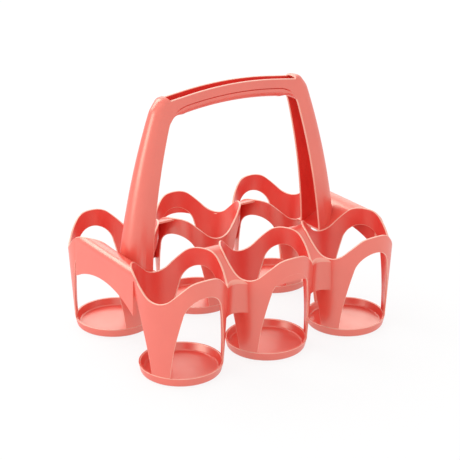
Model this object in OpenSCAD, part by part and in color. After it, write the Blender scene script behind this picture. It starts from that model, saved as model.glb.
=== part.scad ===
// Carrier for six bottles: two rows of three open cups under one arched handle.
// X runs along the rows, Y across them, Z up. The origin is on the floor under the middle.

/* [Cups] */
// Outer radius of a cup wall at floor level
cup_foot_r = 41.8; // [38:0.1:52]
// How much the wall's radius grows per mm of height
cup_flare = 0.058; // [0.03:0.001:0.08]
// Thickness of the cup walls
cup_wall = 2; // [1.5:0.1:2.6]
// Height of the rim at its three peaks
rim_peak_z = 112.6; // [104:0.1:136]
// Height of the rim at its three dips
rim_dip_z = 89; // [80:0.1:94]
// Radius of the rim's curve in a dip
rim_dip_r = 22; // [18:0.5:24]
// Radius of the rim's curve over a peak
rim_peak_r = 18; // [15:0.5:19]
// Gap between neighbouring rims of one row
cup_gap = 7; // [4:0.1:14]
// Gap between the rims of the two rows
row_gap = 38.3; // [34:0.1:50]

/* [Windows] */
// Height of the top of a window
window_top_z = 94.3; // [86:0.1:96]
// Radius of the arch at the top of a window
window_top_r = 22; // [18:0.5:22]
// Half of a window's width at the floor
window_foot = 30.5; // [26:0.1:31]
// Lowest edge of the infill under the arch of a middle cup's outer window
infill_z = 87.7; // [84:0.1:90]
// Thickness of that infill
infill_wall = 1.2; // [0.8:0.1:1.5]

/* [Trays] */
// Outer radius of a tray where it stands on the floor
tray_foot_r = 40; // [36:0.1:48]
// Height of a tray's rim
tray_h = 9.8; // [7:0.1:13]
// Thickness of a tray's floor
tray_floor = 2.4; // [1.6:0.1:4]
// Radius of the rounding under a tray
tray_round = 2.4; // [1:0.1:4]

/* [Webs between cups] */
// Height of a web's lower edge
web_low_z = 55; // [45:0.5:70]
// How far the bottom of a web's groove lies outside the row's middle line
groove_depth = 14.7; // [12:0.1:20]
// Radius of a web's top where it is low
web_dip_r = 20; // [16:0.5:24]
// Radius of a web's top where it is high
web_peak_r = 32; // [24:0.5:34]
// Wall of webs and shoulders
web_wall = 2; // [1.5:0.1:2.6]

/* [End shoulders] */
// Height of the crease between a shoulder's top and its apron
crease_z = 103.5; // [96:0.1:108]
// Height of the lower edge of the apron at its middle
apron_mid_z = 83; // [74:0.5:92]
// Radius of the arch of the apron's lower edge
apron_arch_r = 118; // [100:1:150]
// How far the apron leans out per mm that it goes down
apron_lean = 0.039; // [0.02:0.001:0.06]
// How far the apron reaches past each cup's side, measured from the cup's middle
apron_inset = 8; // [5:0.5:20]

/* [Handle] */
// Height of the handle over the floor, at the middle of the grip
handle_top_z = 264; // [230:0.5:310]
// Width of the flat flange, all along the handle
flange_w = 10.2; // [8:0.1:14]
// Wall of the handle's channel
handle_wall = 2.4; // [1.8:0.1:3.2]
// Half of the handle's width at the height of the cup rims
handle_foot_y = 16.8; // [13:0.1:18]
// How much each side of the handle leans in per mm of height
handle_taper = 0.05; // [0.03:0.001:0.055]
// Lean of the uprights at their foot, per mm of height
upright_lean = 0.087; // [0.04:0.001:0.12]
// How much an upright curves in, per mm of height squared
upright_bow = 0.00078; // [0.0004:0.00001:0.0009]
// Radius of the grip's long curve
grip_bend_r = 385; // [300:5:600]
// Radius of the inner corners between grip and uprights
inner_corner_r = 28; // [14:0.5:34]
// Radius of the outer corners
outer_corner_r = 9; // [5:0.5:14]

/* [Hidden] */
$fn = 96;
PLASTIC = [0.9, 0.3, 0.26];
eps = 0.01;

// Cups: radius at a height, and the places that follow from it
function cup_r(z) = cup_foot_r + cup_flare * z;
rim_r = cup_r((rim_peak_z + rim_dip_z) / 2);
cup_x = 2 * rim_r + cup_gap;
cup_y = rim_r + row_gap / 2;
peak_u = rim_r * sin(60);
cut_from = rim_r * 0.42;
cut_to = rim_r + 12;
window_side_r = 330;
infill_edge_r = 55;

// Webs: half of the length of the top's slope, and how far they reach along the row
web_half = rim_r * sin(30);
web_span = cup_x / 2;

// Shoulders: how far the crease lies from the cup's middle, and the ends of the apron
crease_x = cup_r(crease_z);
apron_half = cup_y - apron_inset;
apron_low_z = apron_mid_z - 30;
cheek_w = 5;

// Handle: its stations are numbered up an upright, round the corner and along the grip.
// The upright's hollow ends at wall_at, and the outer web of the corner ends at cap_at.
foot_z = rim_dip_z - 6;
upright_steps = 8;
corner_steps = 10;
grip_steps = 7;
round_steps = 14;
wall_at = upright_steps + 2;
cap_at = upright_steps + 6;
cap_depth = 3.6;

// Points along an arc from angle a0 to a1, in n steps
function arc(c, r, a0, a1, n) =
    [for (i = [0:n]) c + r * [cos(a0 + (a1 - a0) * i / n), sin(a0 + (a1 - a0) * i / n)]];
function flip(list) = [for (i = [len(list) - 1:-1:0]) list[i]];
function mirrored(list) = [for (p = list) [-p[0], p[1]]];

// S-shaped line that climbs from a hollow at [0, low] to a crown at [run, high]. Both arcs
// meet one straight slope. d is how far below the line it is drawn.
function slope_angle(run, rise, r1, r2) =
    asin((r1 + r2) / norm([run, r1 + r2 - rise])) - atan((r1 + r2 - rise) / run);
function s_line(run, low, high, r1, r2, d) =
    let (a = slope_angle(run, high - low, r1, r2))
    concat(arc([0, low + r1], r1 + d, -90, a - 90, 8),
           arc([run, high - r2], r2 - d, 90 + a, 90, 8));

function rim_line(d) = s_line(peak_u, rim_dip_z, rim_peak_z, rim_dip_r, rim_peak_r, d);
function web_line(d) =
    s_line(2 * web_half, rim_dip_z, rim_peak_z, web_dip_r, web_peak_r, d);

// Outer face of a shoulder: the rim's line, a rounded edge, and down to the crease
function shoulder_line(d) =
    let (edge_r = crease_x - peak_u)
    concat(rim_line(d), arc([peak_u, rim_peak_z - edge_r], edge_r - d, 75, 0, 5),
           [[crease_x - d, crease_z]]);

// Turns an outline in [sideways, up] into a bar that runs outwards along X
module outwards(from, to) {
    translate([from, 0, 0]) rotate([90, 0, 90]) linear_extrude(to - from) children();
}

// Turns an outline in [outwards, up] into a bar of this length, centred on the X axis
module across(length) {
    translate([0, length / 2, 0]) rotate([90, 0, 0]) linear_extrude(length) children();
}

module at_thirds(first) {
    for (k = [0:2]) rotate(first + 120 * k) children();
}

// Wall of a cup between two heights, as a ring
module cup_ring(thick, z0, z1) {
    rotate_extrude()
        polygon([[cup_r(z0) - thick, z0], [cup_r(z0), z0], [cup_r(z1), z1],
                 [cup_r(z1) - thick, z1]]);
}

// Solid cone with a cup's outside, to cut what meets the cup
module cup_solid() {
    top = rim_peak_z + 20;
    translate([0, 0, -1]) cylinder(r1 = cup_r(-1), r2 = cup_r(top), h = top + 1);
}

// Outline of all that lies above the rim's wave, from one peak over a dip to the next
module above_rim() {
    top = rim_peak_z + 5;
    polygon(concat([[-peak_u - 2, top], [-peak_u - 2, rim_peak_z]], mirrored(flip(rim_line(0))),
                   rim_line(0), [[peak_u + 2, rim_peak_z], [peak_u + 2, top]]));
}

// Outline of a window: an arch on sides that spread a little towards the floor
module window_outline() {
    arch_z = window_top_z - window_top_r;
    side = atan((arch_z + 5) / window_side_r);
    right = arc([window_foot - window_side_r, 0], window_side_r, 0, side, 4);
    polygon(concat([[window_foot, -5]], right,
                   arc([0, arch_z], window_top_r, side, 180 - side, 24),
                   flip(mirrored(right)), [[-window_foot, -5]]));
}

// Cup wall with its first peak and window at this angle, and the others a third of a turn on
module cup(first) {
    difference() {
        cup_ring(cup_wall, tray_h, rim_peak_z + 1);
        at_thirds(first) outwards(cut_from, cut_to) window_outline();
        at_thirds(first + 60) outwards(cut_from, cut_to) above_rim();
    }
}

// Thin infill that closes the top of a window, flush with the wall's outside
module infill(angle) {
    rotate(angle) intersection() {
        cup_ring(infill_wall, infill_z - 2, window_top_z + 1);
        outwards(cut_from, cut_to) difference() {
            window_outline();
            translate([0, infill_z - infill_edge_r]) circle(r = infill_edge_r);
            translate([-window_foot - 1, -10]) square([2 * window_foot + 2, infill_z + 5]);
        }
    }
}

// Shallow round tray that a bottle stands on
module tray() {
    rim_out = cup_r(tray_h);
    rotate_extrude()
        polygon(concat([[0, 0]], arc([tray_foot_r - tray_round, tray_round], tray_round, -90, -10, 6),
                       [[rim_out, tray_h], [rim_out - cup_wall, tray_h],
                        [tray_foot_r - cup_wall, tray_floor + 1],
                        [tray_foot_r - cup_wall - 1, tray_floor], [0, tray_floor]]));
}

// Ground plan of a web: from the face of its groove, moved in by d, to its high end
module web_plan(d) {
    low_r = cup_r(web_low_z);
    touch = 90 - 2 * atan((low_r - groove_depth) / web_span);
    groove_r = web_span / cos(touch) - low_r;
    difference() {
        translate([-web_span / 2, -web_half, 0])
            cube([web_span, 2 * web_half, rim_peak_z + 5]);
        translate([0, -web_span * tan(touch), -1])
            cylinder(r = groove_r + d, h = rim_peak_z + 7);
    }
}

// Web between two cups of a row: a sloping top and a grooved panel on the side of -Y
module web() {
    difference() {
        union() {
            intersection() {
                outwards(-web_span / 2, web_span / 2) translate([-web_half, 0])
                    polygon(concat(web_line(0), flip(web_line(web_wall))));
                web_plan(0);
            }
            intersection() {
                outwards(-web_span / 2, web_span / 2) translate([-web_half, 0])
                    polygon(concat([[0, web_low_z]], web_line(web_wall / 2),
                                   [[2 * web_half, web_low_z]]));
                difference() {
                    web_plan(0);
                    web_plan(web_wall);
                }
            }
        }
        for (side = [-1, 1]) translate([side * cup_x / 2, 0, 0]) cup_solid();
    }
}

// End plate under a shoulder's crease. It leans out as it goes down, its lower edge is
// arched, and a cheek closes the gap to the cup at each end.
module apron() {
    foot_x = crease_x + apron_lean * (crease_z - apron_low_z);
    difference() {
        union() {
            across(2 * apron_half)
                polygon([[crease_x - web_wall, crease_z], [crease_x, crease_z],
                         [foot_x, apron_low_z], [foot_x - web_wall, apron_low_z]]);
            for (side = [-1, 1]) translate([0, side * (apron_half - cheek_w / 2), 0])
                across(cheek_w)
                    polygon([[crease_x - 8, crease_z], [crease_x, crease_z],
                             [foot_x, apron_low_z], [crease_x - 8, apron_low_z]]);
        }
        translate([crease_x - 10, 0, apron_mid_z - apron_arch_r]) rotate([0, 90, 0])
            cylinder(r = apron_arch_r, h = 20);
    }
}

// Shoulder that joins two end cups and carries a foot of the handle. Outside is +X.
module shoulder() {
    difference() {
        union() {
            across(2 * cup_y)
                polygon(concat(shoulder_line(0), flip(shoulder_line(web_wall))));
            apron();
        }
        for (side = [-1, 1]) translate([0, side * cup_y, 0]) cup_solid();
    }
}

// Half of the handle's width at a height
function side_y(z) = handle_foot_y - handle_taper * (z - 100);
// Free inner edge of an upright, and how far its outer side faces up
function tip_x(z) = cup_x - upright_lean * (z - 100) - upright_bow * pow(z - 100, 2);
function tilt(z) = atan(upright_lean + 2 * upright_bow * (z - 100));
// Line along the bottom of the grip's flanges, and the direction that its top faces
function grip_z(x) = handle_top_z - flange_w - x * x / (2 * grip_bend_r);
function grip_dir(x) = 90 - atan(x / grip_bend_r);
function unit(a) = [cos(a), sin(a)];

// Middle of the inner corner, where its curve leaves an upright at height z. The search
// halves the heights from lo to hi until the curve also meets the grip's line.
function corner_c(z) = [tip_x(z), z] - inner_corner_r * unit(tilt(z));
function corner_gap(z) =
    let (c = corner_c(z)) (grip_z(c[0]) - c[1]) * sin(grip_dir(c[0])) - inner_corner_r;
function corner_at(lo, hi, n) =
    let (m = (lo + hi) / 2)
    n == 0 ? m : corner_gap(m) > 0 ? corner_at(m, hi, n - 1) : corner_at(lo, m, n - 1);
corner_z = corner_at(foot_z, handle_top_z, 30);
corner_mid = corner_c(corner_z);
corner_a0 = tilt(corner_z);
corner_a1 = grip_dir(corner_mid[0]);

// Distance from that middle to the handle's outer line, whose corner is tighter, at angle a
function outer_reach(a) =
    let (half = (corner_a1 - corner_a0) / 2, b = a - corner_a0 - half,
         reach = inner_corner_r + flange_w, m = (reach - outer_corner_r) / cos(half),
         touch = atan(outer_corner_r * sin(half) / (m + outer_corner_r * cos(half))))
    abs(b) > touch ? reach / cos(half - abs(b))
                   : m * cos(b) + sqrt(pow(outer_corner_r, 2) - pow(m * sin(b), 2));

// A station is [point on the inner line, point on the outer line, direction of outwards]
function station(inner, reach, dir) = [inner, inner + reach * unit(dir), dir];
stations = concat(
    [for (i = [0:upright_steps - 1])
        let (z = foot_z + (corner_z - foot_z) * i / upright_steps)
        station([tip_x(z), z], flange_w, tilt(z))],
    [for (i = [0:corner_steps])
        let (a = corner_a0 + (corner_a1 - corner_a0) * i / corner_steps)
        station(corner_mid + inner_corner_r * unit(a), outer_reach(a) - inner_corner_r, a)],
    [for (i = [1:grip_steps])
        let (x = (corner_mid[0] + inner_corner_r * cos(corner_a1)) * (1 - i / grip_steps))
        station([x, grip_z(x)], flange_w, grip_dir(x))]);
function mirror_station(s) =
    [[-s[0][0], s[0][1]], [-s[1][0], s[1][1]], 180 - s[2]];

// Points of a half-round web, d mm inside the handle, from one side to the other. It lies
// beyond point p in direction dir.
function round_points(p, dir, depth, d) =
    let (u = unit(dir))
    [for (i = [0:round_steps])
        let (a = -90 + 180 * i / round_steps, out = max(depth - d, 0) * cos(a),
             z = p[1] + out * u[1])
        [p[0] + out * u[0], sin(a) * (side_y(z) - d), z]];

// Points across a channel, from the free edge of one flange to the free edge of the other
function channel_points(web_p, free_p, dir, depth, d) =
    let (y = side_y(free_p[1]) - d)
    concat([[free_p[0], -y, free_p[1]]], round_points(web_p, dir, depth, d),
           [[free_p[0], y, free_p[1]]]);

// Depth of the outer web: a half-round up the upright, shallower round the corner
function web_depth(k) =
    let (f = max(0, k - upright_steps) / (cap_at - upright_steps))
    side_y(stations[k][1][1]) * (1 - f) + cap_depth * f;

// Points round the handle at station k, where the grip's web closes its inner side
function tube_points(k, inner_depth, d) =
    let (s = stations[k])
    concat(round_points(s[1], s[2], web_depth(k), d),
           flip(round_points(s[0], s[2] + 180, inner_depth, d)));

// Triangles of a skin over rings of n points each, the first of which is ring number from
function skin(from, to, n) =
    [for (k = [from:to - 1], i = [0:n - 1], half = [0, 1])
        let (a = k * n, j = (i + 1) % n)
        half == 0 ? [a + i, a + n + i, a + j] : [a + j, a + n + i, a + n + j]];
function backwards(faces) = [for (f = faces) flip(f)];

// Channel through rings of points, each made of an outer and an inner path of m points
module channel(outer, inner) {
    m = len(outer[0]);
    last = len(outer) - 1;
    end = [for (i = [0:m - 2]) [i, i + 1, 2 * m - 2 - i, 2 * m - 1 - i]];
    polyhedron(points = [for (k = [0:last]) each concat(outer[k], flip(inner[k]))],
               faces = concat(end, skin(0, last, 2 * m),
                              backwards([for (f = end) [for (i = f) last * 2 * m + i]])));
}

// Right upright: a channel that opens inwards. Its foot is cut to the slope of the shoulder
// that it stands on.
module upright() {
    function side(k, d) = let (s = stations[k]) channel_points(s[1], s[0], s[2], web_depth(k), d);
    difference() {
        channel([for (k = [0:wall_at]) side(k, 0)], [for (k = [0:wall_at]) side(k, handle_wall)]);
        translate([cup_x, 0, 0])
            across(120) polygon(concat([[-20, 0], [-20, rim_dip_z]], rim_line(0), [[peak_u, 0]]));
    }
}

// Right corner: a wall closes the top of the upright's hollow, and the pocket over it opens
// into the grip
module corner() {
    n = 2 * (round_steps + 1);
    high = cap_at - wall_at;
    outer = [for (k = [wall_at:cap_at])
                tube_points(k, k > wall_at ? side_y(stations[k][0][1]) : 0, 0)];
    inner = [for (k = [wall_at + 1:cap_at])
                tube_points(k, side_y(stations[k][0][1]), handle_wall)];
    polyhedron(points = [for (ring = concat(outer, inner)) each ring],
               faces = concat([[for (i = [0:n - 1]) i]], skin(0, high, n),
                              [[for (i = [0:n - 1]) (high + 1) * n + (n - i) % n]],
                              backwards(skin(high + 1, 2 * high, n)),
                              [for (i = [0:n - 1])
                                  let (a = high * n, b = 2 * high * n, j = (i + 1) % n)
                                  [a + i, b + i, b + j, a + j]]));
}

// Grip: a channel with a round underside that opens upwards
module grip() {
    right = [for (k = [cap_at:len(stations) - 1]) stations[k]];
    all = concat([for (s = right) mirror_station(s)],
                 [for (i = [len(right) - 2:-1:0]) right[i]]);
    function side(s, d) = channel_points(s[0], s[1], s[2] + 180, side_y(s[0][1]), d);
    channel([for (s = all) side(s, 0)], [for (s = all) side(s, handle_wall)]);
}

// Puts a child on the middle of a cup, or between cups, in rows and columns of -1, 0 and 1
module at_cup(column, row) {
    translate([column * cup_x, row * cup_y, 0]) children();
}

// The front row has its peaks at 30, 150 and 270 degrees, and the back row mirrors it
module cup_front_left() { color(PLASTIC) at_cup(-1, -1) cup(30); }
module cup_front_middle() { color(PLASTIC) at_cup(0, -1) { cup(30); infill(270); } }
module cup_front_right() { color(PLASTIC) at_cup(1, -1) cup(30); }
module cup_back_left() { color(PLASTIC) at_cup(-1, 1) cup(90); }
module cup_back_middle() { color(PLASTIC) at_cup(0, 1) { cup(90); infill(90); } }
module cup_back_right() { color(PLASTIC) at_cup(1, 1) cup(90); }
module tray_front_left() { color(PLASTIC) at_cup(-1, -1) tray(); }
module tray_front_middle() { color(PLASTIC) at_cup(0, -1) tray(); }
module tray_front_right() { color(PLASTIC) at_cup(1, -1) tray(); }
module tray_back_left() { color(PLASTIC) at_cup(-1, 1) tray(); }
module tray_back_middle() { color(PLASTIC) at_cup(0, 1) tray(); }
module tray_back_right() { color(PLASTIC) at_cup(1, 1) tray(); }
module web_front_left() { color(PLASTIC) at_cup(-0.5, -1) web(); }
module web_front_right() { color(PLASTIC) at_cup(0.5, -1) web(); }
module web_back_left() { color(PLASTIC) at_cup(-0.5, 1) rotate(180) web(); }
module web_back_right() { color(PLASTIC) at_cup(0.5, 1) rotate(180) web(); }
module shoulder_left() { color(PLASTIC) at_cup(-1, 0) mirror([1, 0, 0]) shoulder(); }
module shoulder_right() { color(PLASTIC) at_cup(1, 0) shoulder(); }
module handle_upright_left() { color(PLASTIC) mirror([1, 0, 0]) upright(); }
module handle_upright_right() { color(PLASTIC) upright(); }
module handle_corner_left() { color(PLASTIC) mirror([1, 0, 0]) corner(); }
module handle_corner_right() { color(PLASTIC) corner(); }
module handle_grip() { color(PLASTIC) grip(); }

cup_front_left();
cup_front_middle();
cup_front_right();
cup_back_left();
cup_back_middle();
cup_back_right();
tray_front_left();
tray_front_middle();
tray_front_right();
tray_back_left();
tray_back_middle();
tray_back_right();
web_front_left();
web_front_right();
web_back_left();
web_back_right();
shoulder_left();
shoulder_right();
handle_upright_left();
handle_upright_right();
handle_corner_left();
handle_corner_right();
handle_grip();
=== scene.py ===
import math

import bmesh
import bpy
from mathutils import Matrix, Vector


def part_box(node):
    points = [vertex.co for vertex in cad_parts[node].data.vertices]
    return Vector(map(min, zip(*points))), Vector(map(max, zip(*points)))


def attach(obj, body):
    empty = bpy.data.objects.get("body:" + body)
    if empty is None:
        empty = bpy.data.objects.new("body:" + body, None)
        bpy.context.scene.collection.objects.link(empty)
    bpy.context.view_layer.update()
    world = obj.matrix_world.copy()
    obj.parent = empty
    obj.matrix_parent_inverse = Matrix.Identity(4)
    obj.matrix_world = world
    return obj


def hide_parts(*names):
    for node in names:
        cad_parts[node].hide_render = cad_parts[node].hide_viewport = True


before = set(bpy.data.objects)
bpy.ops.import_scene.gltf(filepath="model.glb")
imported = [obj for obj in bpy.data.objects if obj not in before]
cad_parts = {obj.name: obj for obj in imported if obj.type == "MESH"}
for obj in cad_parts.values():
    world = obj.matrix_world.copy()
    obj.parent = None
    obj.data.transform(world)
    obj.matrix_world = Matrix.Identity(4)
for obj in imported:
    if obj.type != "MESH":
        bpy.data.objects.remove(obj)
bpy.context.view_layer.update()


# Coral plastic
# The whole carrier is one injection moulding in coral plastic, coloured right through. The
# mould's cavity is polished, so outer skins gloss, and its core is only ground, so inner skins
# don't. The melt left weak changes of tone. Rounded and thin edges are painted paler, as a
# painted highlight.
CORAL = (0.820, 0.064, 0.046, 1.0)
CORAL_DEEP = (0.760, 0.042, 0.034, 1.0)
# Paler coral for the painted highlight on rounded and thin edges.
CORAL_HIGHLIGHT = (0.920, 0.480, 0.370, 1.0)


def coral_plastic(name, mirror):
    """The plastic as one half of the mould leaves it. Mirror is the strength of its gloss."""
    material = bpy.data.materials.new(name)
    material.use_nodes = True
    nodes, links = material.node_tree.nodes, material.node_tree.links
    shader = nodes["Principled BSDF"]
    shader.inputs["IOR"].default_value = 2.5
    shader.inputs["Specular IOR Level"].default_value = mirror
    shader.inputs["Specular Tint"].default_value = (1.0, 0.97, 0.79, 1.0)
    place = nodes.new("ShaderNodeTexCoord")

    def noise(scale, detail):
        texture = nodes.new("ShaderNodeTexNoise")
        texture.inputs["Scale"].default_value = scale
        texture.inputs["Detail"].default_value = detail
        links.new(place.outputs["Object"], texture.inputs["Vector"])
        return texture.outputs["Fac"]

    tone = nodes.new("ShaderNodeValToRGB")
    tone.color_ramp.elements[0].position = 0.3
    tone.color_ramp.elements[0].color = CORAL_DEEP
    tone.color_ramp.elements[1].position = 0.7
    tone.color_ramp.elements[1].color = CORAL
    links.new(noise(16.0, 3.0), tone.inputs["Fac"])

    # The "edge" attribute mixes the paler coral into the colour as a painted highlight on
    # rounded and thin edges.
    highlight_mask = nodes.new("ShaderNodeAttribute")
    highlight_mask.attribute_name = "edge"
    highlighted = nodes.new("ShaderNodeMix")
    highlighted.data_type = "RGBA"
    highlighted.inputs["B"].default_value = CORAL_HIGHLIGHT
    links.new(highlight_mask.outputs["Fac"], highlighted.inputs["Factor"])
    links.new(tone.outputs["Color"], highlighted.inputs["A"])
    links.new(highlighted.outputs["Result"], shader.inputs["Base Color"])

    smears = nodes.new("ShaderNodeMapRange")
    smears.inputs["From Min"].default_value = 0.3
    smears.inputs["From Max"].default_value = 0.7
    smears.inputs["To Min"].default_value = 0.28
    smears.inputs["To Max"].default_value = 0.36
    links.new(noise(60.0, 4.0), smears.inputs["Value"])
    links.new(smears.outputs["Result"], shader.inputs["Roughness"])

    peel = nodes.new("ShaderNodeBump")
    peel.inputs["Strength"].default_value = 0.06
    peel.inputs["Distance"].default_value = 0.0002
    links.new(noise(420.0, 2.0), peel.inputs["Height"])
    links.new(peel.outputs["Normal"], shader.inputs["Normal"])
    return material


polished = coral_plastic("coral_plastic_polished", 0.5)
ground = coral_plastic("coral_plastic_ground", 0.28)


# Trays
# Each cup stands on a shallow round tray that is moulded on to its foot. It has a flat floor,
# a low wall that leans out as the cup does, and a small radius all round underneath.
MM = 0.001
ROWS = ("front", "back")
COLUMNS = ("left", "middle", "right")
TRAY_RIM_Z = 9.8
WALL = 2.0
FOOT_R, FLARE = 41.8, 0.058
FREE_EDGE_R = 0.5


def cone_r(z):
    """Radius of a cup's outside at height z."""
    return FOOT_R + FLARE * z


def cup_middle(row, column):
    low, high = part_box(f"tray_{row}_{column}")
    return Vector(((low.x + high.x) / 2, (low.y + high.y) / 2, 0)) / MM


def bevel(bm, edges, width, segments):
    return bmesh.ops.bevel(bm, geom=edges, offset=width * MM, offset_type="OFFSET",
                           segments=segments, profile=0.5, affect="EDGES", material=-1,
                           clamp_overlap=True)


def round_edges(bm, width, wanted):
    """Rounds the sharp edges that are wanted, and gives the roundings a painted highlight."""
    sharp, rounding_highlight = 0.6, 0.8
    edges = [e for e in bm.edges if len(e.link_faces) == 2
             and e.calc_face_angle(0) > sharp and wanted(e)]
    painted_highlight = bm.faces.layers.float.get("edge") or bm.faces.layers.float.new("edge")
    for face in bevel(bm, edges, width, 3)["faces"]:
        face[painted_highlight] = rounding_highlight


def moulded_piece(bm, name, cad_node):
    """Makes the finished mesh a piece of plastic that stands for this CAD node."""
    crisp = 0.75
    for face in bm.faces:
        face.smooth = True
    for edge in bm.edges:
        edge.smooth = len(edge.link_faces) != 2 or edge.calc_face_angle(0) < crisp
    mesh = bpy.data.meshes.new(name)
    bm.to_mesh(mesh)
    bm.free()
    mesh.materials.append(polished)
    mesh.materials.append(ground)
    piece = bpy.data.objects.new(name, mesh)
    bpy.context.collection.objects.link(piece)
    shade = piece.modifiers.new("even shading", "WEIGHTED_NORMAL")
    shade.keep_sharp = True
    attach(piece, "root")
    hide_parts(cad_node)


def tray(row, column):
    floor_z, floor_r, foot_r = 2.4, 37.0, 40.0
    under_r, inside_r, creased = 2.4, 1.4, 0.4
    profile = [(0, 0), (foot_r, 0), (cone_r(TRAY_RIM_Z), TRAY_RIM_Z),
               (cone_r(TRAY_RIM_Z) - WALL, TRAY_RIM_Z), (floor_r + 0.6, floor_z), (0, floor_z)]
    bm = bmesh.new()
    points = [bm.verts.new((r * MM, 0, z * MM)) for r, z in profile]
    lines = [bm.edges.new(pair) for pair in zip(points, points[1:])]
    bmesh.ops.spin(bm, geom=points + lines, cent=(0, 0, 0), axis=(0, 0, 1), dvec=(0, 0, 0),
                   angle=math.tau, steps=112, use_merge=True, use_duplicate=False)
    bmesh.ops.remove_doubles(bm, verts=bm.verts, dist=1e-6)
    bmesh.ops.recalc_face_normals(bm, faces=bm.faces)

    def creases_at(height):
        return [e for e in bm.edges
                if all(abs(v.co.z - height * MM) < 1e-5 and v.co.length > floor_r / 2 * MM
                       for v in e.verts)
                and e.calc_face_angle(0) > creased]

    bevel(bm, creases_at(0), under_r, 5)
    bevel(bm, creases_at(floor_z), inside_r, 4)
    near_rim = (TRAY_RIM_Z - 0.5) * MM
    round_edges(bm, FREE_EDGE_R, lambda e: min(v.co.z for v in e.verts) > near_rim)
    bmesh.ops.translate(bm, verts=bm.verts, vec=cup_middle(row, column) * MM)
    moulded_piece(bm, f"tray_of_{row}_{column}", f"tray_{row}_{column}")


for row in ROWS:
    for column in COLUMNS:
        tray(row, column)


# Cup walls
# A cup is a thin cone with three tall arched windows, so that it stands on three legs, and a
# rim that waves up over each window and down over each leg. The edges are slightly rounded.
DIP_Z = 89.0
PEAK_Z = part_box("cup_front_left")[1].z / MM
PEAK_RUN = 41.26
DIP_R, PEAK_R = 22.0, 18.0
RIM_EDGE_R = 0.55
WINDOW_TOP_Z, WINDOW_R, WINDOW_FOOT, WINDOW_SIDE_R = 94.3, 22.0, 30.5, 330.0
ARCH_Z = WINDOW_TOP_Z - WINDOW_R

# Each third of a wall is a sheet round one window, in 132 rows from the window's left foot over
# its arch to its right foot. The arch springs, and the rim leaves the dip, on a row of its own.
WALL_ROWS = 132
SPRING_AT, DIP_AT = 36 / 66, 28 / 66


def wave_z(run, whole_run=PEAK_RUN, dip_r=DIP_R, peak_r=PEAK_R):
    """Height of an S-shaped line that climbs from a dip to a peak over whole_run."""
    run = min(abs(run), whole_run)
    spare = dip_r + peak_r - (PEAK_Z - DIP_Z)
    slope = math.asin((dip_r + peak_r) / math.hypot(whole_run, spare))
    slope -= math.atan2(spare, whole_run)
    if run <= dip_r * math.sin(slope):
        return DIP_Z + dip_r - math.sqrt(dip_r ** 2 - run ** 2)
    if run >= whole_run - peak_r * math.sin(slope):
        return PEAK_Z - peak_r + math.sqrt(peak_r ** 2 - (whole_run - run) ** 2)
    straight = run - dip_r * math.sin(slope)
    return DIP_Z + dip_r * (1 - math.cos(slope)) + straight * math.tan(slope)


def rim_z(angle):
    """Height of the rim at this many degrees from a peak, up to 60 either way."""
    z = PEAK_Z
    for step in range(12):
        z = wave_z(cone_r(z) * math.sin(math.radians(60 - abs(angle))))
    return z


def window_edge(along):
    """Point (sideways, up) of a window's edge, from its left foot at 0 to its right at 1."""
    side_x = WINDOW_FOOT - WINDOW_SIDE_R
    meet = math.atan2(ARCH_Z, -side_x)
    side = 1 - abs(2 * along - 1)
    if side < SPRING_AT:
        foot = math.asin(TRAY_RIM_Z / WINDOW_SIDE_R)
        turn = foot + (meet - foot) * side / SPRING_AT
        half = side_x + WINDOW_SIDE_R * math.cos(turn)
        z = WINDOW_SIDE_R * math.sin(turn)
    else:
        turn = meet + (side - SPRING_AT) / (1 - SPRING_AT) * (math.pi / 2 - meet)
        half = WINDOW_R * math.cos(turn)
        z = ARCH_Z + WINDOW_R * math.sin(turn)
    return math.copysign(half, along - 0.5), z


def outer_edge(along):
    """Point (degrees, up) where the next third of the cup, or the rim, ends this third."""
    side = 1 - abs(2 * along - 1)
    if side <= DIP_AT + 1e-6:
        rise = min(side, DIP_AT) / DIP_AT
        return math.copysign(60, along - 0.5), TRAY_RIM_Z + (DIP_Z - TRAY_RIM_Z) * rise
    angle = 60 * (1 - (side - DIP_AT) / (1 - DIP_AT))
    return math.copysign(angle, along - 0.5), rim_z(angle)


def sheet(bm, across, along, outside, inside):
    """Adds a grid whose vertices lie on the outside, and notes where its inside will be."""
    layers = bm.verts.layers.float_vector
    note = layers.get("inside") or layers.new("inside")
    spot = layers.get("spot") or layers.new("spot")
    made = bmesh.ops.create_grid(bm, x_segments=across, y_segments=along, size=0.5)
    for v in made["verts"]:
        u, w = v.co.x + 0.5, v.co.y + 0.5
        v.co = Vector(outside(u, w)) * MM
        v[note] = Vector(inside(u, w)) * MM
        v[spot] = (u, w, 0)


def thicken(bm, edge_highlight=0.7):
    """Gives a sheet its second, ground skin and the narrow faces between the two, with a
    painted highlight on those faces.
    """
    bmesh.ops.remove_doubles(bm, verts=bm.verts, dist=2e-5)
    note = bm.verts.layers.float_vector["inside"]
    painted_highlight = bm.faces.layers.float.get("edge") or bm.faces.layers.float.new("edge")
    skins = set(bm.faces)
    second = bmesh.ops.extrude_face_region(bm, geom=bm.faces[:], use_keep_orig=True)["geom"]
    moved = {v for v in second if isinstance(v, bmesh.types.BMVert)}
    for v in moved:
        v.co = v[note]
    for face in bm.faces:
        if moved.issuperset(face.verts):
            face.material_index = 1
        elif face not in skins:
            face[painted_highlight] = edge_highlight
    bmesh.ops.recalc_face_normals(bm, faces=bm.faces)


def along_sides(bm, edge):
    """Whether an edge runs along one of the two sides, across 0 or 1, of its sheet."""
    spot = bm.verts.layers.float_vector["spot"]
    a, b = (v[spot] for v in edge.verts)
    return abs(a.x - b.x) < 1e-4 and abs(a.x - 0.5) > 0.4999 and abs(a.y - b.y) > 1e-4


def add_shell(bm, shell):
    """Adds a finished shell to a piece and frees it."""
    mesh = bpy.data.meshes.new("shell")
    shell.to_mesh(mesh)
    shell.free()
    bm.from_mesh(mesh)
    bpy.data.meshes.remove(mesh)


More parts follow.
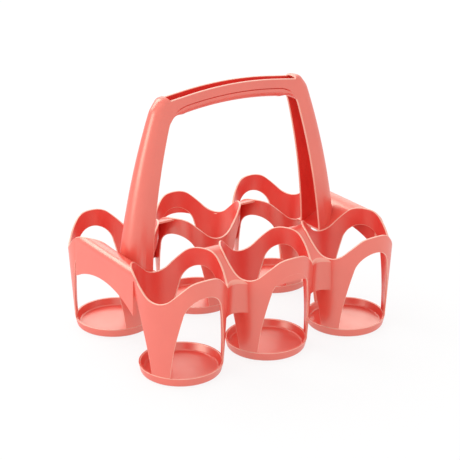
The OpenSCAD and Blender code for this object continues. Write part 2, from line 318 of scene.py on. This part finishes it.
def cup_wall(row, column):
    middle = cup_middle(row, column)
    first_window = 270 if row == "front" else 90

    def on_cone(turn, z, inset):
        r = cone_r(z) - inset
        return middle + Vector((r * math.cos(turn), r * math.sin(turn), z))

    def third(facing, inset):
        def place(out, along):
            side, z0 = window_edge(along)
            from_window = math.asin(side / (cone_r(z0) - inset))
            degrees, z1 = outer_edge(along)
            turn = facing + from_window + (math.radians(degrees) - from_window) * out
            return on_cone(turn, z0 + (z1 - z0) * out, inset)
        return place

    bm = bmesh.new()
    for k in range(3):
        facing = math.radians(first_window + 120 * k)
        sheet(bm, 7, WALL_ROWS, third(facing, 0), third(facing, WALL))
    thicken(bm)
    round_edges(bm, RIM_EDGE_R, lambda e: True)
    if column == "middle":
        window_infill(bm, on_cone, math.radians(first_window))
    moulded_piece(bm, f"cup_of_{row}_{column}", f"cup_{row}_{column}")


# Window infills
# The outer window of each middle cup is closed under its arch by a thin lens of plastic,
# flush with the wall's outside, whose lower edge is a flatter arc than the arch.
def window_infill(bm, on_cone, facing):
    edge_r, edge_z, thickness, flush = 55.0, 87.7, 1.2, 0.02
    wider, taller = 1.01, 0.7
    gap = edge_r - (edge_z - ARCH_Z)
    reach_z = (WINDOW_R ** 2 - edge_r ** 2 + gap ** 2) / (2 * gap)
    reach = math.sqrt(max(WINDOW_R ** 2 - reach_z ** 2, 0))

    def place(inset):
        def at(u, w):
            side = reach * (2 * u - 1) * wider
            low = edge_z - edge_r + math.sqrt(edge_r ** 2 - side ** 2)
            top = ARCH_Z + math.sqrt(max(WINDOW_R ** 2 - side ** 2, 0)) + taller
            z = low + (max(top, low + 0.05) - low) * w
            return on_cone(facing + math.asin(side / (cone_r(z) - inset)), z, inset)
        return at

    lens = bmesh.new()
    sheet(lens, 40, 6, place(flush), place(thickness))
    thicken(lens)
    add_shell(bm, lens)


for row in ROWS:
    for column in COLUMNS:
        cup_wall(row, column)


# Webs between cups
# Neighbouring cups of a row are joined by a web. Its top slopes down from the high rims at the
# middle of the carrier and turns over a rounded edge. Its outer side is a hollow groove that
# flows from cup to cup.
SIDES = ("left", "right")
CUP_PITCH = (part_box("tray_front_right")[1].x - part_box("tray_front_middle")[1].x) / MM
WEB_HALF = 23.82
WEB_LOW_Z = 54.0
WEB_DIP_R, WEB_PEAK_R = 20.0, 32.0
GROOVE_MEETS_CUP = math.radians(33)


def paint_highlight_rows(bm, skin, low, high, tone):
    """Paints a highlight, a paler colour, on a band of one skin between two places along its
    sheet.
    """
    spot = bm.verts.layers.float_vector["spot"]
    painted_highlight = bm.faces.layers.float["edge"]
    for face in bm.faces:
        if face.material_index == skin and all(low - 0.001 < v[spot].y < high + 0.001
                                               for v in face.verts):
            face[painted_highlight] = tone


def row_web(row, side):
    middle = (cup_middle(row, "middle") + cup_middle(row, side)) / 2
    inwards = 1 if row == "front" else -1
    span = CUP_PITCH / 2
    sunk, into_cups, below_rims = 0.05, 0.5, 0.6
    edge_r, least_edge_r, edge_highlight = 3.0, 0.8, 0.4
    edge_from, edge_to = 0.36, 0.48

    def half_gap(y, z):
        return span - math.sqrt((cone_r(z) - into_cups) ** 2 - y ** 2)

    def web_z(y, inset):
        high = wave_z(max(y + WEB_HALF, 0), 2 * WEB_HALF, WEB_DIP_R, WEB_PEAK_R)
        return high - below_rims - inset

    def groove(across, z, inset):
        """Point of the groove at height z, whose arc runs smoothly into both cups."""
        cone = cone_r(z) - sunk
        r = span / math.cos(GROOVE_MEETS_CUP) - cone + inset
        turned = across * (math.pi / 2 - GROOVE_MEETS_CUP)
        return r * math.sin(turned), r * math.cos(turned) - span * math.tan(GROOVE_MEETS_CUP)

    def place(inset):
        def at(u, w):
            across = 2 * u - 1
            top = DIP_Z
            for step in range(4):
                top = web_z(groove(across, top, inset)[1], inset)
            top_x, top_y = groove(across, top, inset)
            end_y = groove(1, top, inset)[1]
            bend = max(edge_r - inset, least_edge_r)

            def panel(z):
                x, y = groove(across, z, inset)
                return Vector((middle.x + x, middle.y + inwards * y, z))

            def roof(back):
                y = top_y + (WEB_HALF - top_y) * back
                side_y = end_y + (WEB_HALF - end_y) * back
                x = across * half_gap(side_y, web_z(side_y, 0))
                x += (top_x - x) * max(1 - back * 6, 0)
                return Vector((middle.x + x, middle.y + inwards * y, web_z(y, inset)))

            bent = bend / (WEB_HALF - top_y)
            if w < edge_from:
                return panel(WEB_LOW_Z + (top - bend - WEB_LOW_Z) * w / edge_from)
            if w > edge_to:
                return roof(bent + (1 - bent) * (w - edge_to) / (1 - edge_to))
            part = (w - edge_from) / (edge_to - edge_from)
            return (panel(top - bend) * (1 - part) ** 2 + panel(top) * 2 * part * (1 - part)
                    + roof(bent) * part ** 2)
        return at

    bm = bmesh.new()
    sheet(bm, 20, 50, place(0), place(WALL))
    thicken(bm)
    # The rounded edge between the groove and the top gets a painted highlight.
    paint_highlight_rows(bm, 0, edge_from, edge_to, edge_highlight)
    round_edges(bm, FREE_EDGE_R, lambda e: not along_sides(bm, e))
    moulded_piece(bm, f"web_of_{row}_{side}", f"web_{row}_{side}")


for row in ROWS:
    for side in SIDES:
        row_web(row, side)


# End shoulders
# A shoulder joins the end cups of the two rows. Its top has the rims' line, then turns over a
# rounded edge to a crease, under which a flat apron leans out to an arched lower edge.
CREASE_Z, APRON_MID_Z, APRON_ARCH_R, APRON_LEAN, APRON_INSET = 103.5, 83.0, 118.0, 0.039, 8.0


def shoulder(side):
    cup = cup_middle("front", side)
    out = -1 if side == "left" else 1
    edge_r = cone_r(CREASE_Z) - PEAK_RUN
    edge_run, bend_share, into_cups = 14, 0.8, 0.6

    def top_line(w, inset):
        """Point (outwards, up) on the way from the dip to the crease."""
        run = w * (PEAK_RUN + edge_run)
        if run < PEAK_RUN:
            z = wave_z(run)
            slope = math.atan((wave_z(run + 0.05) - z) / 0.05)
            return run + inset * math.sin(slope), z - inset * math.cos(slope)
        turn = (run - PEAK_RUN) / edge_run
        bend = min(turn / bend_share, 1) * math.pi / 2
        x = PEAK_RUN + (edge_r - inset) * math.sin(bend)
        z = PEAK_Z - edge_r + (edge_r - inset) * math.cos(bend)
        fall = max(turn - bend_share, 0) / (1 - bend_share)
        return x, z + (CREASE_Z - (PEAK_Z - edge_r)) * fall

    def place(inset):
        def at(u, w):
            x, z = top_line(w, inset)
            reach = abs(cup.y) - math.sqrt(max(cone_r(z) ** 2 - x ** 2, 0)) + into_cups
            return (cup.x + out * x, reach * (2 * u - 1), z)
        return at

    bm = bmesh.new()
    sheet(bm, 32, 150, place(0), place(WALL))
    thicken(bm)
    apron(bm, cup, out)
    moulded_piece(bm, f"shoulder_of_{side}", f"shoulder_{side}")


def apron(bm, cup, out):
    """Adds the end plate under the crease, with the cheeks that close it to the cups."""
    half = abs(cup.y) - APRON_INSET
    crease = cone_r(CREASE_Z)
    cheek, into_cups = 0.12, 0.8

    def lower_z(y):
        return APRON_MID_Z - APRON_ARCH_R + math.sqrt(APRON_ARCH_R ** 2 - y ** 2)

    def place(inset):
        def at(u, w):
            if u < cheek or u > 1 - cheek:
                inward = 1 - min(u, 1 - u) / cheek
                y = math.copysign(half - inset, u - 0.5)
            else:
                inward = 0.0
                y = (half - inset) * (2 * (u - cheek) / (1 - 2 * cheek) - 1)
            z = CREASE_Z + (lower_z(y) - CREASE_Z) * w
            x = crease + APRON_LEAN * (CREASE_Z - z) - inset
            wall = math.sqrt(cone_r(z) ** 2 - (APRON_INSET + inset) ** 2) - into_cups
            return (cup.x + out * (x + (wall - x) * inward), y, z)
        return at

    plate = bmesh.new()
    sheet(plate, 80, 10, place(0), place(WALL))
    thicken(plate)
    round_edges(plate, FREE_EDGE_R, lambda e: not along_sides(plate, e))
    add_shell(bm, plate)


for side in SIDES:
    shoulder(side)


# Handle line
# The handle is a channel bent into an arch. Its open side faces inwards up the uprights and
# upwards along the grip, and its back is half round everywhere. It narrows towards the top.
TOP_Z, FOOT_Z = 264.0, 83.0
FLANGE, HANDLE_WALL, FLANGE_EDGE_R = 10.2, 2.4, 0.6
INNER_R, OUTER_R = 28.0, 6.0
GRIP_R = 385.0
CUP_X = abs(cup_middle("front", "right").x)

# Above this height the line leans in by LEAN and BOW, and narrows by NARROWING.
LINE_Z, LEAN, BOW = 100.0, 0.087, 0.00078
HALF_WIDTH, NARROWING = 16.8, 0.05


def side_y(z):
    return HALF_WIDTH - NARROWING * (z - LINE_Z)


def upright_x(z):
    return CUP_X - LEAN * (z - LINE_Z) - BOW * (z - LINE_Z) ** 2


def upright_tilt(z):
    return math.atan(LEAN + 2 * BOW * (z - LINE_Z))


def grip_z(x):
    return TOP_Z - FLANGE - x * x / (2 * GRIP_R)


def grip_turn(x):
    return math.pi / 2 - math.atan(x / GRIP_R)


def facing(angle):
    return Vector((math.cos(angle), math.sin(angle)))


def corner_of(z):
    """Middle of the inner corner if its curve leaves the upright at height z."""
    return Vector((upright_x(z), z)) - facing(upright_tilt(z)) * INNER_R


low, high = FOOT_Z, TOP_Z
for step in range(40):
    corner_z = (low + high) / 2
    corner = corner_of(corner_z)
    if (grip_z(corner.x) - corner.y) * math.sin(grip_turn(corner.x)) > INNER_R:
        low = corner_z
    else:
        high = corner_z
turn_from, turn_to = upright_tilt(corner_z), grip_turn(corner.x)
grip_from = corner.x + INNER_R * math.cos(turn_to)


def outer_reach(angle):
    """Distance from the corner's middle to its outer line, which is rounded by OUTER_R."""
    half = (turn_to - turn_from) / 2
    off = abs(angle - turn_from - half)
    reach = INNER_R + FLANGE
    centre = (reach - OUTER_R) / math.cos(half)
    touch = math.atan2(OUTER_R * math.sin(half), centre + OUTER_R * math.cos(half))
    if off > touch:
        return reach / math.cos(half - off)
    return centre * math.cos(off) + math.sqrt(OUTER_R ** 2 - (centre * math.sin(off)) ** 2)


def station(k):
    """Inner point, outer point and outward angle: 0 to 1 is the upright, to 2 the corner,
    to 3 the grip as far as its middle."""
    if k <= 1:
        z = FOOT_Z + (corner_z - FOOT_Z) * k
        inner, angle, reach = Vector((upright_x(z), z)), upright_tilt(z), FLANGE
    elif k <= 2:
        angle = turn_from + (turn_to - turn_from) * (k - 1)
        inner, reach = corner + facing(angle) * INNER_R, outer_reach(angle) - INNER_R
    else:
        x = grip_from * (3 - k)
        inner, angle, reach = Vector((x, grip_z(x))), grip_turn(x), FLANGE
    return inner, inner + facing(angle) * reach, angle


# The upright's hollow ends at station WALL_AT. The cap over the corner ends at CAP_AT, where
# the grip begins, and stands CAP_DEPTH beyond the flanges there. The grip's underside has grown
# to its half round at ROUND_AT.
WALL_AT, CAP_AT, ROUND_AT = 1.2, 1.6, 1.85
CAP_DEPTH = 3.6


def eased(start, end, k):
    part = min(max((k - start) / (end - start), 0), 1)
    return part * part * (3 - 2 * part)


def inner_depth(k):
    """Depth of the round underside, which grows out of the corner to a half round."""
    return side_y(station(k)[0].y) * eased(WALL_AT, ROUND_AT, k)


def outer_depth(k):
    """Depth of the round outer back, which fades to the cap's depth."""
    fade = eased(WALL_AT, CAP_AT, k)
    return side_y(station(k)[1].y) * (1 - fade) + CAP_DEPTH * fade


def crease(k):
    """Depth of the crease between a flange and the round back, deeper along the grip."""
    shallow, deeper = 0.1, 1.1
    return shallow + deeper * eased(1.3, 1.8, k)


def round_back(point, angle, depth, inset, around):
    """Point of a half-round back that lies beyond point, from one side to the other."""
    narrower = 0.15
    spot = point + facing(angle) * max(depth - inset, 0) * math.cos(around)
    return Vector((spot.x, math.sin(around) * (side_y(spot.y) - inset - narrower), spot.y))


def flange_at(start, end, part, side, inset):
    spot = start + (end - start) * part
    return Vector((spot.x, math.copysign(side_y(spot.y) - inset, side), spot.y))


CHANNEL_STEPS, FLANGE_STEPS = 54, 12
NEAR_FOLD = 0.05


def channel(k, u, inset, back_outside):
    """Point of the channel's section at station k, from one free edge to the other: down a
    flange in 12 steps, round the back, and up the other flange in 12."""
    inner, outer, angle = station(k)
    back, free = (outer, inner) if back_outside else (inner, outer)
    step = round(u * CHANNEL_STEPS)
    end = min(step, CHANNEL_STEPS - step)
    if end <= FLANGE_STEPS:
        groove = crease(k) if end == FLANGE_STEPS and inset == 0 else 0
        part = 1 - NEAR_FOLD if end == FLANGE_STEPS else 0.9 * end / (FLANGE_STEPS - 1)
        return flange_at(free, back, part, step - CHANNEL_STEPS / 2, inset + groove)
    round_steps = CHANNEL_STEPS - 2 * (FLANGE_STEPS + 1)
    around = ((step - FLANGE_STEPS - 1) / round_steps - 0.5) * math.pi
    if back_outside:
        return round_back(outer, angle, outer_depth(k), inset, around)
    return round_back(inner, angle + math.pi, inner_depth(k), inset, around)


def mirrored_if(side, point):
    return Vector((-point.x, point.y, point.z)) if side == "left" else point


# Uprights
# Each upright stands on a shoulder, where its foot follows the slope of the shoulder's top. Its
# hollow faces the other upright.
def upright(side):
    sunk = 1.0

    def foot_at(u, inset):
        """Station at which this line of the channel comes down to the shoulder's top."""
        low, high = 0.0, 0.5
        for step in range(24):
            k = (low + high) / 2
            point = channel(k, u, inset, True)
            if point.z < wave_z(max(point.x - CUP_X, 0)) - sunk:
                low = k
            else:
                high = k
        return low

    feet = {}

    def place(inset):
        def at(u, w):
            key = (round(u, 5), inset)
            if key not in feet:
                feet[key] = foot_at(u, inset)
            k = feet[key] + (WALL_AT - feet[key]) * w
            return mirrored_if(side, channel(k, u, inset, True))
        return at

    bm = bmesh.new()
    sheet(bm, CHANNEL_STEPS, 60, place(0), place(HANDLE_WALL))
    thicken(bm)
    round_edges(bm, FLANGE_EDGE_R, lambda e: along_sides(bm, e))
    moulded_piece(bm, f"upright_of_{side}", f"handle_upright_{side}")


for side in SIDES:
    upright(side)


# Corners
# At each corner the open side changes. A small wall closes the top of the upright's hollow, and
# a pocket over it, behind a shallow round cap, opens into the grip.
RING_STEPS = 62


def handle_corner(side):
    def ring(u, k, inset):
        """Point of the closed section at station k: steps 0 to 24 go round the back, 25 to 30
        in along a flange, 31 to 55 round the inner side and 56 to 61 out along the other."""
        inner, outer, angle = station(k)
        depth = inner_depth(k)
        inner = inner + facing(angle) * max(inset - depth, 0)
        step = round(u * RING_STEPS) % RING_STEPS
        groove = crease(k) if inset == 0 else 0
        which = 43 - step
        if step <= 24:
            around = (step / 24 - 0.5) * math.pi
            return round_back(outer, angle, outer_depth(k), inset, around)
        if step == 25 or step == 61:
            return flange_at(outer, inner, NEAR_FOLD, which, inset + min(groove, 0.1))
        if step == 30 or step == 56:
            return flange_at(inner, outer, NEAR_FOLD, which, inset + groove)
        if step < 30:
            return flange_at(outer, inner, 0.1 + 0.8 * (step - 26) / 3, which, inset)
        if step > 56:
            return flange_at(inner, outer, 0.1 + 0.8 * (step - 57) / 3, which, inset)
        around = (0.5 - (step - 31) / 24) * math.pi
        return round_back(inner, angle + math.pi, depth, inset, around)

    floor_share = 0.2

    def place(floor_at, inset):
        def at(u, w):
            if w < floor_share:
                inner, outer, angle = station(floor_at)
                centre = Vector(((inner.x + outer.x) / 2, 0, (inner.y + outer.y) / 2))
                edge = ring(u, floor_at, inset)
                return mirrored_if(side, centre + (edge - centre) * w / floor_share)
            k = floor_at + (CAP_AT - floor_at) * (w - floor_share) / (1 - floor_share)
            return mirrored_if(side, ring(u, k, inset))
        return at

    pocket_floor_at, plain, pocket_highlight = CAP_AT - 0.12, 0.0, 0.5
    bm = bmesh.new()
    sheet(bm, RING_STEPS, 30, place(WALL_AT, 0), place(pocket_floor_at, HANDLE_WALL))
    thicken(bm, plain)
    # The pocket's floor gets a painted highlight.
    paint_highlight_rows(bm, 1, 0.0, floor_share, pocket_highlight)
    moulded_piece(bm, f"corner_of_{side}", f"handle_corner_{side}")


for side in SIDES:
    handle_corner(side)


# Grip
# The grip is the top of the arch, bowed a little upwards. The hand goes round its round
# underside, and its hollow is open at the top.
def grip():
    def place(inset):
        def at(u, w):
            side = 2 * w - 1
            k = CAP_AT + (3 - CAP_AT) * (1 - abs(side))
            return mirrored_if("left" if side < 0 else "right", channel(k, u, inset, False))
        return at

    bm = bmesh.new()
    sheet(bm, CHANNEL_STEPS, 96, place(0), place(HANDLE_WALL))
    thicken(bm)
    round_edges(bm, FLANGE_EDGE_R, lambda e: along_sides(bm, e))
    moulded_piece(bm, "grip_of_handle", "handle_grip")


grip()


# Studio
# A plain white floor and white surroundings, which the gloss mirrors, a large soft lamp high
# behind the carrier, a second one lower at its back right, and a third at its left.
def seen(nodes, links):
    """1 for what the camera or a reflection sees, 0 for what only lights the object."""
    rays = nodes.new("ShaderNodeLightPath")
    either = nodes.new("ShaderNodeMath")
    either.operation = "MAXIMUM"
    links.new(rays.outputs["Is Camera Ray"], either.inputs[0])
    links.new(rays.outputs["Is Glossy Ray"], either.inputs[1])
    return either.outputs["Value"]


def white_stage():
    bm = bmesh.new()
    bmesh.ops.create_circle(bm, cap_ends=True, segments=64, radius=6.0)
    mesh = bpy.data.meshes.new("floor")
    bm.to_mesh(mesh)
    bm.free()
    floor = bpy.data.objects.new("floor", mesh)
    bpy.context.collection.objects.link(floor)
    material = bpy.data.materials.new("white_floor")
    material.use_nodes = True
    nodes, links = material.node_tree.nodes, material.node_tree.links
    matte = nodes["Principled BSDF"]
    matte.inputs["Base Color"].default_value = (0.9, 0.9, 0.9, 1)
    matte.inputs["Roughness"].default_value = 0.9
    matte.inputs["Specular IOR Level"].default_value = 0.1
    plain = nodes.new("ShaderNodeEmission")
    plain.inputs["Strength"].default_value = 1.0
    share = nodes.new("ShaderNodeMapRange")
    share.inputs["To Max"].default_value = 0.85
    links.new(seen(nodes, links), share.inputs["Value"])
    mix = nodes.new("ShaderNodeMixShader")
    links.new(share.outputs["Result"], mix.inputs["Fac"])
    links.new(matte.outputs["BSDF"], mix.inputs[1])
    links.new(plain.outputs["Emission"], mix.inputs[2])
    links.new(mix.outputs["Shader"], nodes["Material Output"].inputs["Surface"])
    mesh.materials.append(material)


def white_world():
    world = bpy.data.worlds.new("white")
    bpy.context.scene.world = world
    world.use_nodes = True
    nodes, links = world.node_tree.nodes, world.node_tree.links
    nodes["Background"].inputs["Color"].default_value = (1, 1, 1, 1)
    level = nodes.new("ShaderNodeMapRange")
    level.inputs["To Min"].default_value = 0.95
    level.inputs["To Max"].default_value = 1.0
    links.new(seen(nodes, links), level.inputs["Value"])
    links.new(level.outputs["Result"], nodes["Background"].inputs["Strength"])


def soft_lamp(name, place, size, power):
    lamp = bpy.data.lights.new(name, "AREA")
    lamp.shape = "SQUARE"
    lamp.size = size
    lamp.energy = power
    stand = bpy.data.objects.new(name, lamp)
    stand.location = place
    aim = Vector((0, 0, 0.1)) - Vector(place)
    stand.rotation_euler = aim.to_track_quat("-Z", "Y").to_euler()
    bpy.context.collection.objects.link(stand)


white_stage()
white_world()
soft_lamp("over", (-0.5, 1.3, 1.3), 1.2, 13.0)
soft_lamp("left", (-1.7, 0.0, 0.6), 0.9, 6.0)
soft_lamp("behind", (1.0, 1.5, 0.9), 1.2, 5.5)
bpy.context.scene.view_settings.view_transform = "Standard"


# Camera
# It looks down on the carrier from the front left, at the photograph's angle and distance.
def camera():
    sensor, focal_pixels, picture_pixels = 36.0, 1451.85, 460
    lens = bpy.data.cameras.new("camera")
    lens.sensor_width = sensor
    lens.lens = sensor * focal_pixels / picture_pixels
    lens.clip_start = 0.05
    view = bpy.data.objects.new("camera", lens)
    azimuth, elevation, distance = math.radians(-33.41), math.radians(21.308), 1.5125
    target = Vector((0.00075, 0.00131, 0.10387))
    back = Vector((math.sin(azimuth) * math.cos(elevation),
                   -math.cos(azimuth) * math.cos(elevation), math.sin(elevation)))
    view.location = target + back * distance
    view.rotation_euler = (math.pi / 2 - elevation, 0, azimuth)
    bpy.context.collection.objects.link(view)
    bpy.context.scene.camera = view


camera()
